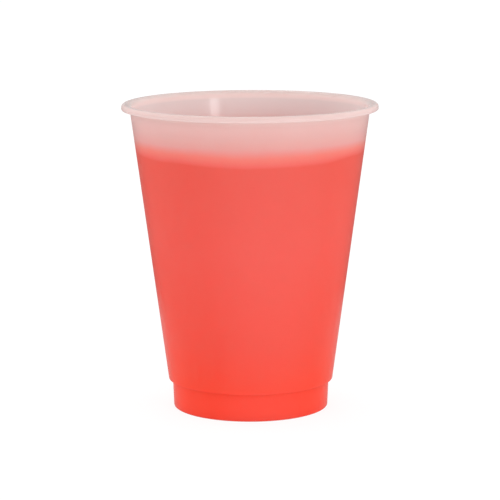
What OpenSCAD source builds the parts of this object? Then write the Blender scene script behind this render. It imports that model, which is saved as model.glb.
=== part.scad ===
// Stackable drinking cup, moulded in one piece from frosted polypropylene.
// Lengths are millimetres. The origin is the middle of the face that the foot ring
// stands on, and +Z runs up the axis, out of the open mouth.

/* [Cup] */
// Height from the table to the top of the lip
cup_h = 114.5; // [90:0.5:140]
// Thickness of the tapered side wall
wall_t = 0.8; // [0.6:0.05:1.1]

/* [Foot] */
// Outside diameter of the foot ring where it meets the table
foot_d = 58.1; // [50:0.1:64]
// Height of the foot, from the table to the underside of the stacking shelf
foot_h = 10.4; // [7:0.1:14]
// Thickness of the foot's skirt and ring
foot_t = 1.2; // [1:0.1:1.6]
// Outward lean of the foot's skirt, in degrees
foot_draft = 2.3; // [0:0.1:4]
// Rounding of the ring's outer bottom edge
foot_round = 0.4; // [0.1:0.05:0.6]
// Rounding of the ring's inner bottom edge
ring_round = 0.2; // [0.05:0.05:0.3]

/* [Floor] */
// Height of the floor's underside above the table
floor_lift = 2.5; // [1.5:0.1:4]
// Thickness of the floor
floor_t = 1; // [0.8:0.1:1.5]
// Fillet where the floor meets the skirt inside the cup
floor_fillet = 1.5; // [0.5:0.1:2.5]
// Fillet where the floor meets the ring under the cup
recess_fillet = 0.6; // [0.2:0.1:1.2]

/* [Stacking shelf] */
// Distance that the shelf steps out from the foot
shelf_w = 1.45; // [1.3:0.05:2.4]
// Rounding of the shelf's outer corner
shelf_round = 0.4; // [0.1:0.1:0.8]
// Fillet where the shelf's underside meets the foot
shelf_fillet = 0.3; // [0.1:0.05:0.5]
// Fillet where the wall meets the ledge inside the cup
ledge_fillet = 0.6; // [0.1:0.1:0.8]
// Rounding of the ledge's inner edge
ledge_round = 0.4; // [0.1:0.05:0.5]

/* [Lip] */
// Outside diameter across the lip
lip_d = 95.5; // [85:0.5:110]
// Distance that the lip stands out past the wall
lip_reach = 3.15; // [2.8:0.05:4]
// Height of the lip's turned-down skirt
lip_h = 2.2; // [2.1:0.1:4]
// Thickness of the lip
lip_t = 0.9; // [0.85:0.05:1.05]
// Rounding of the lip's top outer edge
lip_round = 1.35; // [1.2:0.05:1.5]
// Width of the narrow flat on top of the lip
lip_flat = 0.2; // [0.1:0.05:0.4]
// Rounding of the skirt's lower edges
skirt_round = 0.4; // [0.1:0.05:0.4]

/* [Hidden] */

// Straight steps in each rounded corner
arc_steps = 10;
// Facets round the axis in the preview
$fn = 180;

// Heights of the skirt's lower edge, the groove's roof, the ledge and the floor
lip_low_z = cup_h - lip_h;
groove_z = cup_h - lip_t;
ledge_z = foot_h + wall_t;
floor_z = floor_lift + floor_t;

// Outside radii of the lip, the wall's top, the foot ring and both ends of the shelf
lip_r = lip_d / 2;
wall_top_r = lip_r - lip_reach;
foot_r = foot_d / 2;
shelf_in_r = foot_r + foot_h * tan(foot_draft);
shelf_out_r = shelf_in_r + shelf_w;

// Lean of the side wall, in degrees, and the level thickness of the wall and the skirt
taper = atan((wall_top_r - shelf_out_r) / (lip_low_z - foot_h));
wall_level_t = wall_t / cos(taper);
foot_level_t = foot_t / cos(foot_draft);

// Outside and inside radius of the side wall at height z
function wall_r(z) = shelf_out_r + (z - foot_h) * tan(taper);
function bore_r(z) = wall_r(z) - wall_level_t;

// Inside radius of the foot's skirt at height z
function foot_bore_r(z) = foot_r + z * tan(foot_draft) - foot_level_t;

// Radius of the flare that carries the inside of the wall up to the flat on the lip
flare_w = lip_r - lip_round - lip_flat - bore_r(cup_h);
flare_round = flare_w * tan((90 + taper) / 2);

// Corners as [radius, height, rounding], where a rounding of 0 stays sharp:
// the outside, from the middle of the underside up to the groove under the lip
outside = [
    [0, floor_lift, 0],
    [foot_bore_r(floor_lift), floor_lift, recess_fillet],
    [foot_bore_r(0), 0, ring_round],
    [foot_r, 0, foot_round],
    [shelf_in_r, foot_h, shelf_fillet],
    [shelf_out_r, foot_h, shelf_round],
    [wall_r(groove_z), groove_z, flare_round - lip_t]
];

// The lip: the groove's far side, the turned-down skirt, the top and the flare
lip = [
    [lip_r - lip_t, groove_z, lip_round - lip_t],
    [lip_r - lip_t, lip_low_z, skirt_round],
    [lip_r, lip_low_z, skirt_round],
    [lip_r, cup_h, lip_round],
    [bore_r(cup_h), cup_h, flare_round]
];

// The inside, down the wall, over the ledge and across the floor
inside = [
    [bore_r(ledge_z), ledge_z, ledge_fillet],
    [foot_bore_r(ledge_z), ledge_z, ledge_round],
    [foot_bore_r(floor_z), floor_z, floor_fillet],
    [0, floor_z, 0]
];

// Vector v at a length of 1
function unit(v) = v / norm(v);

// Circular arc of radius r that rounds the corner at b on the way from a to c:
// a rational quadratic curve, weighted by the sine of half the corner's angle
function arc(a, b, c, r) =
    let (
        u = unit(a - b),
        v = unit(c - b),
        half = acos(u * v) / 2,
        setback = r / tan(half)
    )
    [for (i = [0:arc_steps])
        let (
            t = i / arc_steps,
            p = pow(1 - t, 2),
            q = 2 * t * (1 - t) * sin(half),
            s = pow(t, 2)
        )
        b + setback * (p * u + s * v) / (p + q + s)];

// Radius and height of point p, without its rounding
function place(p) = [p.x, p.y];

// Outline through the corners in pts, each one rounded as it asks
function rounded(pts) =
    let (n = len(pts))
    [for (i = [0:n - 1])
        let (
            a = place(pts[(i + n - 1) % n]),
            b = place(pts[i]),
            c = place(pts[(i + 1) % n]),
            r = pts[i].z
        )
        each r > 0 ? arc(a, b, c, r) : [b]];

// One wall turned round the axis: the foot ring under a raised floor, the shelf that
// carries the next cup's foot in a stack, the tapered side and the turned-down lip
module cup() {
    color([0.94, 0.38, 0.34])
        rotate_extrude()
            polygon(rounded(concat(outside, lip, inside)));
}

cup();
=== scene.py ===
# %% [markdown]
# # A colour-changing cup in frosted plastic
#
# The real cup is moulded in one shot from polypropylene: a thin tapered wall, a lip turned down all
# round the mouth, and a narrower foot under a small step, which lets one cup stand inside the next.
# A pigment in the plastic is nearly clear when warm and coral red when a cold drink cools the wall.
# The cup in the photo is red up to a nearly level line, and pale pink over the last two centimetres.
#
# The packed model gives the true size and place. It is loaded first, as a fixed frame: nothing in it
# is moved or resized, and the cup's height and lip come from its box.

# %% Load the frame
import math

import bpy
import numpy as np
from mathutils import Matrix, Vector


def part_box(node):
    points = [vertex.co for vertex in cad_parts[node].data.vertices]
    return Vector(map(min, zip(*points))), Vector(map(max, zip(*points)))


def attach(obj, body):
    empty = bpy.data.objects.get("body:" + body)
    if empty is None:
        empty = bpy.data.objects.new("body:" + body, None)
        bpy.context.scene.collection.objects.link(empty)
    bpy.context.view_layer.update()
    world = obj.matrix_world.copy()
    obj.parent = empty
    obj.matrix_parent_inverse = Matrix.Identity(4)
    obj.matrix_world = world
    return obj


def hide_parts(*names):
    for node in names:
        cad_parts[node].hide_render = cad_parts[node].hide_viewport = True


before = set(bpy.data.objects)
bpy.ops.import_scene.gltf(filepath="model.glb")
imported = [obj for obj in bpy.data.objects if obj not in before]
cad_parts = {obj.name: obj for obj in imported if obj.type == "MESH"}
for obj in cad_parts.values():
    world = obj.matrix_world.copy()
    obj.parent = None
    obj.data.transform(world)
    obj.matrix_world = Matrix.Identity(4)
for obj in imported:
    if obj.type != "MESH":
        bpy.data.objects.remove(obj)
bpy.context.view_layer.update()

cup_low, cup_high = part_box("cup")
print("frame holds", sorted(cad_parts), "from", round(cup_low.z, 4), "to", round(cup_high.z, 4), "m")

# %% [markdown]
# ## The sizes of the moulding
#
# A turned shape is set by its section, so the few sizes below are the whole cup. The packed model's
# triangles would show as flat facets along the lip in a close view, so the looks are built on a finer
# surface of exactly the same section. Two sizes are read from the frame's box and the others are the
# moulder's own: the wall, the foot, the shelf, the lip and the rounding of each corner.

# %% Driving sizes, in metres
mm = 0.001

height = cup_high.z
lip_radius = cup_high.x

wall = 0.8 * mm
foot_radius = 29.05 * mm
foot_height = 10.4 * mm
foot_wall = 1.2 * mm
foot_draft = math.radians(2.3)
shelf_width = 1.45 * mm
floor_lift = 2.5 * mm
floor_thickness = 1.0 * mm
lip_reach = 3.15 * mm
lip_drop = 2.2 * mm
lip_thickness = 0.9 * mm
lip_flat = 0.2 * mm

# Roundings of the corners, in the order in which the section meets them
recess_fillet = 0.6 * mm
ring_round = 0.2 * mm
foot_round = 0.4 * mm
shelf_fillet = 0.3 * mm
shelf_round = 0.4 * mm
skirt_round = 0.4 * mm
lip_round = 1.35 * mm
ledge_fillet = 0.6 * mm
ledge_round = 0.4 * mm
floor_fillet = 1.5 * mm

# Heights of the skirt's lower edge, the groove's roof, the inner ledge and the floor
skirt_z = height - lip_drop
groove_z = height - lip_thickness
ledge_z = foot_height + wall
floor_z = floor_lift + floor_thickness

# Radii at both ends of the shelf, and the lean that they and the lip give the wall
shelf_inner = foot_radius + foot_height * math.tan(foot_draft)
shelf_outer = shelf_inner + shelf_width
lean = math.atan((lip_radius - lip_reach - shelf_outer) / (skirt_z - foot_height))
print("the wall leans", round(math.degrees(lean), 2), "degrees")

# %% [markdown]
# ## The section as corners with roundings
#
# A toolmaker draws the section as straight lines and gives each corner a radius. The same is done
# here: one row for each corner, with its radius from the axis, its height and its rounding. The path
# starts under the floor, goes round the foot ring, up the outside, over the lip and down the inside.


# %% Corners of the section
def outer_wall(z):
    """Outside radius at height z: a straight line that leans out by the wall's angle."""
    return shelf_outer + (z - foot_height) * math.tan(lean)


def inner_wall(z):
    """Inside radius at height z: the outside, less the wall measured level."""
    return outer_wall(z) - wall / math.cos(lean)


def foot_bore(z):
    """Inside radius of the foot at height z: its outside, less its wall measured level."""
    return foot_radius + z * math.tan(foot_draft) - foot_wall / math.cos(foot_draft)


# Radius of the flare that brings the inside of the wall up to the flat on the lip
flare = (lip_radius - lip_round - lip_flat - inner_wall(height)) * math.tan((math.pi / 2 + lean) / 2)

corners = np.array([
    [foot_bore(floor_lift), floor_lift, recess_fillet],
    [foot_bore(0), 0, ring_round],
    [foot_radius, 0, foot_round],
    [shelf_inner, foot_height, shelf_fillet],
    [shelf_outer, foot_height, shelf_round],
    [outer_wall(groove_z), groove_z, flare - lip_thickness],
    [lip_radius - lip_thickness, groove_z, lip_round - lip_thickness],
    [lip_radius - lip_thickness, skirt_z, skirt_round],
    [lip_radius, skirt_z, skirt_round],
    [lip_radius, height, lip_round],
    [inner_wall(height), height, flare],
    [inner_wall(ledge_z), ledge_z, ledge_fillet],
    [foot_bore(ledge_z), ledge_z, ledge_round],
    [foot_bore(floor_z), floor_z, floor_fillet],
])
under_pole = np.array([0, floor_lift])
floor_pole = np.array([0, floor_z])
print("section of", len(corners), "rounded corners, with a flare of", round(flare / mm, 2), "mm")

# %% [markdown]
# ## From corners to a smooth curve
#
# An arc that touches both sides of a corner starts at a setback of radius over the tangent of half
# the corner's angle. A weighted curve of three points gives the true circle between them. On the
# straight stretches the points crowd towards both ends, by a cosine, so that smooth shading bends
# only beside the corners and a long wall stays flat.

# %% Section curve
arc_steps = 9
side_steps = 16


def unit(v):
    """Each row of v at a length of 1."""
    return v / np.linalg.norm(v, axis=-1, keepdims=True)


def rounded_section(corners, first, last):
    """Points along the section as an array of radius and height.

    With u and v the directions from a corner b to its neighbours and t from 0 to 1, the arc is
    b + setback (p u + s v) / (p + q + s), where p = (1 - t)^2, s = t^2 and q = 2 t (1 - t) sin(half)."""
    place = corners[:, :2]
    radius = corners[:, 2, None]
    before = np.vstack([first, place[:-1]])
    after = np.vstack([place[1:], last])
    u = unit(before - place)
    v = unit(after - place)
    half = np.arccos((u * v).sum(1, keepdims=True)) / 2
    setback = radius / np.tan(half)

    t = np.linspace(0, 1, arc_steps)
    p = (1 - t) ** 2
    s = t ** 2
    q = 2 * t * (1 - t) * np.sin(half)
    weight = p + q + s
    arcs = place[:, None] + setback[:, :, None] * (
        (p / weight)[:, :, None] * u[:, None] + (s / weight)[:, :, None] * v[:, None]
    )

    crowd = (1 - np.cos(np.pi * np.arange(1, side_steps) / side_steps)) / 2
    starts = np.vstack([[first], arcs[:, -1]])
    ends = np.vstack([arcs[:, 0], [last]])
    sides = starts[:, None] + (ends - starts)[:, None] * crowd[None, :, None]
    runs = np.concatenate([arcs, sides[1:]], axis=1)
    return np.vstack([sides[0], runs.reshape(-1, 2)])


section = rounded_section(corners, under_pole, floor_pole)
print("section curve of", len(section), "points")

# %% [markdown]
# ## Inside and outside
#
# The inside is smoother than the outside, and its colour is painted paler to make up for the dimmer,
# redder light in the cup, so the plastic has to know which side a point is on. Two materials would
# meet in a hard line along the lip. The section itself tells, and softly: it runs up the outside, level
# over the lip and down the inside. Its direction becomes a number that the mesh carries to the shader.

# %% Share of the inside
level_share = 0.5


def inward(section):
    """0 where the section runs up the outside and 1 where it runs down the inside.

    It is a half, less the upward part of the section's direction, kept from 0 to 1."""
    direction = unit(np.gradient(section, axis=0))
    return np.clip(level_share - direction[:, 1], 0, 1)


print("mean share of the inside along the section is", round(float(inward(section).mean()), 2))

# %% [markdown]
# ## One watertight skin
#
# Blender's Spin would turn the section too, but leaves doubled points to merge. Here the faces are
# worked out as numbers: each ring of the grid closes on itself, and a single point with a fan of
# triangles closes each pole, so the skin has an inside and an outside, as the plastic has.

# %% Faces of a turned skin
sectors = 224


def skin_faces(rings):
    """Corner numbers of all faces in one row, and the count of corners of each face.

    Point i * sectors + j is ring i at sector j, and the two poles follow. A quad joins sectors j and
    j + 1 of rings i and i + 1, and a triangle joins a pole to one step of its ring."""
    number = np.arange(rings * sectors).reshape(rings, sectors)
    ahead = np.roll(number, -1, axis=1)
    quads = np.stack([number[:-1], ahead[:-1], ahead[1:], number[1:]], axis=-1).reshape(-1, 4)
    low = np.full(sectors, rings * sectors)
    high = low + 1
    low_fan = np.stack([low, ahead[0], number[0]], axis=-1)
    high_fan = np.stack([high, number[-1], ahead[-1]], axis=-1)
    loops = np.concatenate([quads.ravel(), low_fan.ravel(), high_fan.ravel()])
    sizes = np.concatenate([np.full(len(quads), 4), np.full(2 * sectors, 3)])
    return loops, sizes


print("the skin has", len(skin_faces(len(section))[1]), "faces")

# %% [markdown]
# ## Turning the section
#
# The surface is a function of two parameters: the place along the section and the angle round the
# axis. All of its points come from one array expression, and go into the mesh in one call.


# %% Lathe
def turned(name, section, low_pole, high_pole):
    """Object of the section turned round the Z axis, with the inward share on its points.

    A point is (r cos a, r sin a, z) for each section point (r, z) and angle a."""
    angle = np.linspace(0, 2 * np.pi, sectors, endpoint=False)
    r = section[:, 0, None]
    z = np.broadcast_to(section[:, 1, None], (len(section), sectors))
    grid = np.stack([r * np.cos(angle), r * np.sin(angle), z], axis=-1)
    poles = np.array([[0, 0, low_pole[1]], [0, 0, high_pole[1]]])
    points = np.vstack([grid.reshape(-1, 3), poles])
    share = np.concatenate([np.repeat(inward(section), sectors), [level_share, level_share]])
    loops, sizes = skin_faces(len(section))

    mesh = bpy.data.meshes.new(name)
    mesh.vertices.add(len(points))
    mesh.vertices.foreach_set("co", points.astype(np.float32).ravel())
    mesh.loops.add(len(loops))
    mesh.loops.foreach_set("vertex_index", loops.astype(np.int32))
    mesh.polygons.add(len(sizes))
    mesh.polygons.foreach_set("loop_start", (np.cumsum(sizes) - sizes).astype(np.int32))
    mesh.polygons.foreach_set("use_smooth", np.ones(len(sizes), bool))
    mesh.update(calc_edges=True)
    mesh.validate()
    mesh.attributes.new("inward", "FLOAT", "POINT").data.foreach_set("value", share.astype(np.float32))
    piece = bpy.data.objects.new(name, mesh)
    bpy.context.scene.collection.objects.link(piece)
    print(name, "has", len(points), "points and", int((sizes - 2).sum()), "triangles")
    return piece


cup = turned("cup_moulding", section, under_pole, floor_pole)

# %% [markdown]
# ## Colours as numbers
#
# A colour is easiest to judge on a screen, so each one below is written as its six hex digits there.
# Blender works in linear light, so the digits are turned into linear numbers once, in Python.


# %% Colours and ramps
def paint(code):
    """A colour in linear light, from the six hex digits that a screen shows.

    A screen value v from 0 to 1 is v / 12.92 in the dark, and ((v + 0.055) / 1.055)^2.4 above it."""
    screen = np.array([int(code[i:i + 2], 16) for i in (0, 2, 4)]) / 255
    linear = np.where(screen <= 0.04045, screen / 12.92, ((screen + 0.055) / 1.055) ** 2.4)
    return tuple(float(x) for x in linear)


def set_stops(ramp, stops):
    """Fills a colour ramp with pairs of place and colour."""
    while len(ramp.elements) > 1:
        ramp.elements.remove(ramp.elements[-1])
    for number, (place, colour) in enumerate(stops):
        element = ramp.elements[0] if number == 0 else ramp.elements.new(place)
        element.position = place
        element.color = (*colour, 1)


print("coral on screen f16359 is", tuple(round(x, 3) for x in paint("f16359")))

# %% [markdown]
# ## Shader maths as Python
#
# A material is a small graph of nodes. Adding each node by hand hides the idea, so a thin class wraps
# a socket and lets +, -, * and / add the Math nodes, and one method adds any other node.


# %% Sockets with operators
class Wire:
    """A number on its way from one node to the next. Operators add Math nodes to its graph."""

    def __init__(self, graph, socket):
        self.graph = graph
        self.socket = socket

    def maths(self, operation, first, second):
        return self.graph.add("ShaderNodeMath", {"operation": operation}, {0: first, 1: second})

    def __add__(self, other):
        return self.maths("ADD", self, other)

    __radd__ = __add__

    def __sub__(self, other):
        return self.maths("SUBTRACT", self, other)

    def __rsub__(self, other):
        return self.maths("SUBTRACT", other, self)

    def __mul__(self, other):
        return self.maths("MULTIPLY", self, other)

    __rmul__ = __mul__

    def __truediv__(self, other):
        return self.maths("DIVIDE", self, other)

    def __rtruediv__(self, other):
        return self.maths("DIVIDE", other, self)


class Graph:
    """The nodes of one material or world."""

    def __init__(self, owner):
        owner.use_nodes = True
        self.tree = owner.node_tree
        self.tree.nodes.clear()

    def add(self, kind, settings=None, inputs=None, output=0):
        """Adds a node of that kind: its settings first, then its inputs by name or number.
        Gives back the output with that name or number."""
        node = self.tree.nodes.new(kind)
        for key, value in (settings or {}).items():
            if key == "stops":
                set_stops(node.color_ramp, value)
            else:
                setattr(node, key, value)
        for key, value in (inputs or {}).items():
            if isinstance(value, Wire):
                self.tree.links.new(value.socket, node.inputs[key])
            else:
                node.inputs[key].default_value = value
        return Wire(self, node.outputs[output]) if len(node.outputs) else node


reflected = [name.strip("_") for name in vars(Wire) if name.startswith("__r")]
print("a number may stand first in", ", ".join(reflected))

# %% [markdown]
# ## Frosted plastic that changes colour
#
# The pigment's colour depends on how cold the wall is, so it depends on height alone: deep coral at
# the foot, coral up to the level of the drink, a bright salmon band just above it, and then a fade to
# pale pink. A colour ramp along Z says that directly, with one ramp for the outside and one for the
# inside. The inside's ramp is painted paler and greyer, to make up for the dimmer, redder light inside
# the cup. Near the lip some stops are painted light and shade as well: a lighter band under the lip, a
# painted highlight on the inner flare and a darker crest. A painted map could do the same, but it
# would be tied to one mesh, while a ramp can be read and changed stop by stop.

# %% Colour by height
# Height in millimetres and colour of the outside, from the foot to the top of the lip. The lighter stop
# at 111.9 mm is painted light under the lip, and the darkening up to 114.5 mm is painted shade on the
# crest
outside_colours_and_painted_light = [
    (0, "f54d39"),
    (10, "f5503c"),
    (28, "eb584b"),
    (62, "e66056"),
    (95.2, "de6055"),
    (96.0, "e36d65"),
    (99, "e4847a"),
    (102.5, "dba49f"),
    (106, "daafab"),
    # Painted light: a lighter band on the wall just under the lip, against the shade of its overhang
    (110.5, "debdb9"),
    (111.9, "e4cac6"),
    (112.6, "dec6c3"),
    # Painted shade: the lip's crest darkened against the light from above
    (114.0, "dcc2be"),
    (114.5, "d6bfbb"),
]

# The same for the inside, from the floor to the top of the lip. Its pale colours are painted paler and
# greyer than the outside's, to make up for the dimmer, redder light in the cup. The lighter stops at
# 112.1 and 112.9 mm are a painted highlight on the flare, and the darkening to 114.5 mm painted shade
inside_colours_and_painted_light = [
    (0, "ee4939"),
    (62, "ea6057"),
    (92, "e2625a"),
    (100, "e2bab4"),
    (106, "dfd0ce"),
    (111.4, "dfd5d3"),
    # Painted highlight: a lighter band on the flare just under the lip's top
    (112.1, "eadbd8"),
    (112.9, "e8d6d2"),
    # Painted shade: the lip's crest darkened against the light from above
    (113.7, "dac8c4"),
    (114.5, "cab7b3"),
]


def by_height(graph, z, colours):
    """Colour at height z, from pairs of millimetres and colour."""
    stops = [(place * mm / height, paint(code)) for place, code in colours]
    return graph.add("ShaderNodeValToRGB", {"stops": stops}, {0: z / height})


print(len(outside_colours_and_painted_light), "colours up the outside and", len(inside_colours_and_painted_light), "up the inside")

# %% [markdown]
# ## Nothing on it is quite even
#
# A moulded wall isn't one flat colour. The pigment lies a little thicker and thinner in patches of
# about a centimetre, and the gloss changes a little with it. The line where the colour turns wavers by
# up to a millimetre. It also stands two millimetres higher at both sides, left and right: that rise is
# painted, and stands in for the deeper colour seen through the wall's edges. A fine matt grain from the
# mould breaks up the light's reflection. A painted picture would need a seam somewhere, so all of it
# but the rise at the sides is noise in three dimensions, read at the surface's own place.

# %% Uneven colour, line and grain
mottle_size = 9 * mm
mottle_detail = 4.0
mottle_amount = 0.03
gloss_detail = 3.0
gloss_change = 0.04
wave_size = 24 * mm
wave_detail = 2.0
wave_height = 1.2 * mm
# Painted: the colour line lifted at both sides, for the deeper colour seen through the wall's edges
painted_side_rise = 2.0 * mm
wander_full = 97.5 * mm
wander_end = 102.5 * mm
grain_size = 0.35 * mm
grain_detail = 3.0
grain_depth = 0.01 * mm
grain_strength = 0.3


def noise(graph, place, size, detail):
    """Noise from -1 to 1, in lumps of about that size in metres."""
    scale = 1 / size
    value = graph.add("ShaderNodeTexNoise", inputs={"Vector": place, "Scale": scale, "Detail": detail})
    return (value - 0.5) * 2.0


def remap(graph, value, start, end, first, last):
    """Goes from first to last while the value goes from start to end."""
    return graph.add(
        "ShaderNodeMapRange",
        inputs={"Value": value, "From Min": start, "From Max": end, "To Min": first, "To Max": last},
    )


def colour_height(graph, place):
    """Height at which the colours are read: the true one plus a wander.

    The wander is noise times wave_height, less painted_side_rise times (x / r) squared. Reading lower lifts
    the line, so it stands higher at both sides. The wander fades out from wander_full to wander_end,
    so that the lip's own colours stay level."""
    x, y, z = [graph.add("ShaderNodeSeparateXYZ", inputs={0: place}, output=axis) for axis in "XYZ"]
    across = x * x
    sideways = across / (across + y * y)
    # The rise at the sides is painted: it stands in for the deeper colour seen through the wall's edges
    wander = noise(graph, place, wave_size, wave_detail) * wave_height - sideways * painted_side_rise
    return z + wander * remap(graph, z, wander_full, wander_end, 1.0, 0.0)


def mould_grain(graph, place):
    """Normal of the mould's fine matt grain: noise as the height of a bump."""
    grain = noise(graph, place, grain_size, grain_detail)
    return graph.add(
        "ShaderNodeBump", inputs={"Strength": grain_strength, "Distance": grain_depth, "Height": grain}
    )


print("grain of", grain_size / mm, "mm, mottle of", mottle_size / mm, "mm")

# %% [markdown]
# ## The plastic itself
#
# Polypropylene is cloudy: light goes in, scatters for a millimetre or so and comes out beside where
# it went in. That is what makes the real cup look soft and lit from within. A plain diffuse colour
# looks like painted card, and a true volume would be slow and noisy in a wall this thin, so the
# shader scatters all of its light under the surface. A satin gloss lies over it, smoother inside,
# where the mould's core was polished.

# %% Frosted plastic
plastic_roughness = 0.22
inside_roughness = 0.17
specular_level = 0.25
plastic_ior = 1.49
light_travel = 1.4 * mm

# The Mix node's two colours and its result, as socket numbers
mix_first = 6
mix_second = 7
mix_result = 2


def frosted_plastic():
    """Cloudy satin plastic: colour by height and side, times a mottle that only darkens."""
    material = bpy.data.materials.new("frosted_plastic")
    graph = Graph(material)
    place = graph.add("ShaderNodeTexCoord", output="Object")
    inside = graph.add("ShaderNodeAttribute", {"attribute_name": "inward"}, output="Fac")
    z = colour_height(graph, place)
    # Both ramps hold painted light and shade near the lip, and the inside one is painted paler
    outside_colour = by_height(graph, z, outside_colours_and_painted_light)
    inside_colour = by_height(graph, z, inside_colours_and_painted_light)
    colour = graph.add(
        "ShaderNodeMix",
        {"data_type": "RGBA"},
        {"Factor": inside, mix_first: outside_colour, mix_second: inside_colour},
        output=mix_result,
    )
    mottle = 1.0 - (noise(graph, place, mottle_size, mottle_detail) + 1.0) * (mottle_amount / 2)
    colour = graph.add("ShaderNodeVectorMath", {"operation": "SCALE"}, {0: colour, "Scale": mottle})
    roughness = plastic_roughness + inside * (inside_roughness - plastic_roughness)
    roughness = roughness + noise(graph, place, mottle_size, gloss_detail) * gloss_change
    shader = graph.add(
        "ShaderNodeBsdfPrincipled",
        inputs={
            "Base Color": colour,
            "Roughness": roughness,
            "Normal": mould_grain(graph, place),
            "Specular IOR Level": specular_level,
            "IOR": plastic_ior,
            "Subsurface Weight": 1.0,
            "Subsurface Radius": (1.0, 1.0, 1.0),
            "Subsurface Scale": light_travel,
        },
    )
    graph.add("ShaderNodeOutputMaterial", inputs={"Surface": shader})
    print("frosted_plastic has", len(graph.tree.nodes), "nodes")
    return material


cup.data.materials.append(frosted_plastic())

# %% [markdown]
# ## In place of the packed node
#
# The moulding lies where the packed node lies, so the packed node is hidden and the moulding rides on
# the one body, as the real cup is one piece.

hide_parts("cup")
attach(cup, "root")
print(cup.name, "rides on root and replaces cup")

# %% [markdown]
# ## Camera
#
# The photo was taken through a long lens, from a little above the lip: the mouth is a narrow ellipse
# and the table is seen at about ten degrees. A camera set by eye would be near, but the outline of a
# turned cup says more, so place, pitch and lens were fitted to it. The lens is given in pixels of a
# frame 500 pixels wide, and becomes millimetres on a sensor of the usual width.

# %% Camera
frame_pixels = 500
focal_pixels = 2285.8
sensor_millimetres = 36
camera_place = (-0.00012, -0.8451, 0.2061)

# Angles in radians: down from level, and round the line of sight
camera_pitch = 0.1723
camera_roll = -0.003

camera = bpy.data.cameras.new("camera")
camera.sensor_width = sensor_millimetres
camera.lens = focal_pixels / frame_pixels * sensor_millimetres
camera_object = bpy.data.objects.new("camera", camera)
camera_object.matrix_world = (
    Matrix.Translation(camera_place)
    @ Matrix.Rotation(math.pi / 2 - camera_pitch, 4, "X")
    @ Matrix.Rotation(camera_roll, 4, "Z")
)
bpy.context.scene.collection.objects.link(camera_object)
bpy.context.scene.camera = camera_object
print("lens of", round(camera.lens, 1), "mm")

# %% [markdown]
# ## Colours as written
#
# Blender can show a scene as film would, which fades strong colours, or plainly. The plain way,
# called Standard, keeps the coral as it is written.

# %% Colours as written
bpy.context.scene.view_settings.view_transform = "Standard"
print("view transform", bpy.context.scene.view_settings.view_transform)

# %% [markdown]
# ## The room round the cup
#
# The world is a white tent: it lights the cup from all round, a little more from the sides than from
# above. Gloss sees the room in another way. Under a white tent a satin cup gets a chalky rim, where
# the real one stays coral to its edges, so what it mirrors is a dim room with a white card in front,
# a narrow card far behind and a soft ceiling. The camera sees plain white, and so would glass.

# %% World
side_level = 1.28
zenith_level = 1.0
room_glow = 0.1
front_azimuth = 20
front_edge = 0.3
front_card = 1.3
back_edge = 0.9
back_card = 0.25
ceiling_start = -0.1
ceiling_full = 0.5
ceiling_level = 0.8


def ray_kind(graph, name):
    """1 for rays of that kind and 0 for all others."""
    return graph.add("ShaderNodeLightPath", output=name)


def straight_ray(graph):
    """1 for rays from the camera, also past something clear, and 0 for all others."""
    return ray_kind(graph, "Is Camera Ray") + ray_kind(graph, "Is Transmission Ray")


def along(graph, direction, way):
    """Cosine of the angle between a direction and a fixed way."""
    ways = {0: direction, 1: way}
    return graph.add("ShaderNodeVectorMath", {"operation": "DOT_PRODUCT"}, ways, output="Value")


def mirrored_room(graph, direction, up):
    """Brightness that gloss sees. A card goes from nothing at its edge to full at its middle, both
    told by the cosine, and the ceiling comes up from the room's glow as the direction climbs."""
    turn = math.radians(front_azimuth)
    front_way = (math.sin(turn), -math.cos(turn), 0)
    front = remap(graph, along(graph, direction, front_way), front_edge, 1.0, 0.0, front_card)
    back = remap(graph, along(graph, direction, (0, 1, 0)), back_edge, 1.0, 0.0, back_card)
    return remap(graph, up, ceiling_start, ceiling_full, room_glow + front + back, ceiling_level)


def studio_world():
    """White to straight rays, the mirrored room to glossy ones and the tent to all others."""
    world = bpy.data.worlds.new("studio")
    graph = Graph(world)
    direction = graph.add("ShaderNodeTexCoord", output="Generated")
    up = along(graph, direction, (0, 0, 1))
    tent = remap(graph, up, 0.0, 1.0, side_level, zenith_level)
    room = mirrored_room(graph, direction, up)
    glossy = ray_kind(graph, "Is Glossy Ray")
    seen = straight_ray(graph)
    strength = seen + glossy * room + (1.0 - seen - glossy) * tent
    shader = graph.add("ShaderNodeBackground", inputs={"Color": (1, 1, 1, 1), "Strength": strength})
    graph.add("ShaderNodeOutputWorld", inputs={"Surface": shader})
    print("world has", len(graph.tree.nodes), "nodes")
    return world


bpy.context.scene.world = studio_world()

# %% [markdown]
# ## The table
#
# The table is a pale matt sheet. To the camera it glows most of the way to white, and keeps the faint
# shadow round the foot. In the cup's gloss only a pool close to the foot shows: a painted glow, seen
# only by gloss, which stands in for table lit beside the foot and draws the pale line up both edges of
# the foot and of the lower wall. Past the pool the gloss sees the room.

# %% Floor
floor_size = 6.0
floor_white = (0.9, 0.9, 0.9)
floor_glow = 1.05
glow_share = 0.8
pool_middle = (0, 0.07, 0)
pool_radius = 0.15
pool_edge = 0.05
# A painted glow in the pool, seen only by gloss: it stands in for table lit beside the foot
pool_glow = 0.3


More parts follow.
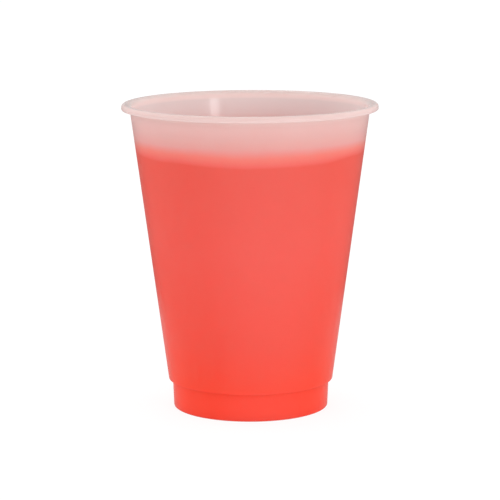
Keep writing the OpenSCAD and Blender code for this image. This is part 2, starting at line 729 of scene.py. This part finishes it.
def pale_floor():
    """Matt white that glows to the camera. To gloss it is clear, with a glow added in its pool, which
    fades out over pool_edge as the distance from its middle reaches pool_radius."""
    material = bpy.data.materials.new("pale_floor")
    graph = Graph(material)
    matte = graph.add("ShaderNodeBsdfDiffuse", inputs={"Color": (*floor_white, 1)})
    glow = graph.add("ShaderNodeEmission", inputs={"Strength": floor_glow})
    share = straight_ray(graph) * glow_share
    table = graph.add("ShaderNodeMixShader", inputs={0: share, 1: matte, 2: glow})

    place = graph.add("ShaderNodeTexCoord", output="Object")
    ends = {0: place, 1: pool_middle}
    reach = graph.add("ShaderNodeVectorMath", {"operation": "DISTANCE"}, ends, output="Value")
    pool = remap(graph, reach, pool_radius - pool_edge, pool_radius, 1.0, 0.0)
    clear = graph.add("ShaderNodeBsdfTransparent")
    shine = graph.add("ShaderNodeEmission", inputs={"Strength": pool_glow})
    lit = graph.add("ShaderNodeAddShader", inputs={0: clear, 1: shine})
    mirrored = graph.add("ShaderNodeMixShader", inputs={0: pool, 1: clear, 2: lit})
    glossy = ray_kind(graph, "Is Glossy Ray")
    surface = graph.add("ShaderNodeMixShader", inputs={0: glossy, 1: table, 2: mirrored})
    graph.add("ShaderNodeOutputMaterial", inputs={"Surface": surface})
    return material


side = floor_size / 2
sheet = [(-side, -side, 0), (side, -side, 0), (side, side, 0), (-side, side, 0)]
mesh = bpy.data.meshes.new("floor")
mesh.from_pydata(sheet, [], [(0, 1, 2, 3)])
mesh.materials.append(pale_floor())
floor = bpy.data.objects.new("floor", mesh)
bpy.context.scene.collection.objects.link(floor)
print("floor of", floor_size, "m")

# %% [markdown]
# ## Lamps
#
# A softbox is a lit sheet, so its power is pi times its area times the brightness of its face. The key
# is a small bright one at the front right, whose reflection is the upright streak inside the cup. Two
# wide ones stand behind to either side: they light the wall's edges and don't show in the gloss. A
# strip high up behind picks out the lip.

# %% Lamps
lamp_distance = 1.2


def softbox(name, azimuth, elevation, width, tall, radiance, mirrored=True):
    """Area lamp that looks at the middle of the cup. Azimuth 0 is the camera's side, and it grows
    to the right. One that isn't mirrored doesn't show in the gloss."""
    lamp = bpy.data.lights.new(name, "AREA")
    lamp.shape = "RECTANGLE"
    lamp.size = width
    lamp.size_y = tall
    lamp.energy = math.pi * width * tall * radiance
    lamp_object = bpy.data.objects.new(name, lamp)
    lamp_object.matrix_world = (
        Matrix.Translation((0, 0, height / 2))
        @ Matrix.Rotation(math.radians(azimuth), 4, "Z")
        @ Matrix.Rotation(math.radians(90 - elevation), 4, "X")
        @ Matrix.Translation((0, 0, lamp_distance))
    )
    lamp_object.visible_camera = False
    lamp_object.visible_glossy = mirrored
    bpy.context.scene.collection.objects.link(lamp_object)
    print(name, "gives", round(lamp.energy, 2), "W")


key_azimuth = 37
key_elevation = 8.8
key_width = 0.19
key_tall = 0.14
key_radiance = 16.0
softbox("key", key_azimuth, key_elevation, key_width, key_tall, key_radiance)

side_azimuth = 125
side_elevation = 15
side_width = 0.6
left_radiance = 2.0
right_radiance = 1.2
softbox("left side", -side_azimuth, side_elevation, side_width, side_width, left_radiance, False)
softbox("right side", side_azimuth, side_elevation, side_width, side_width, right_radiance, False)

back_azimuth = 190
back_elevation = 50
back_width = 0.3
back_tall = 0.12
back_radiance = 4.0
softbox("back", back_azimuth, back_elevation, back_width, back_tall, back_radiance)

# %% [markdown]
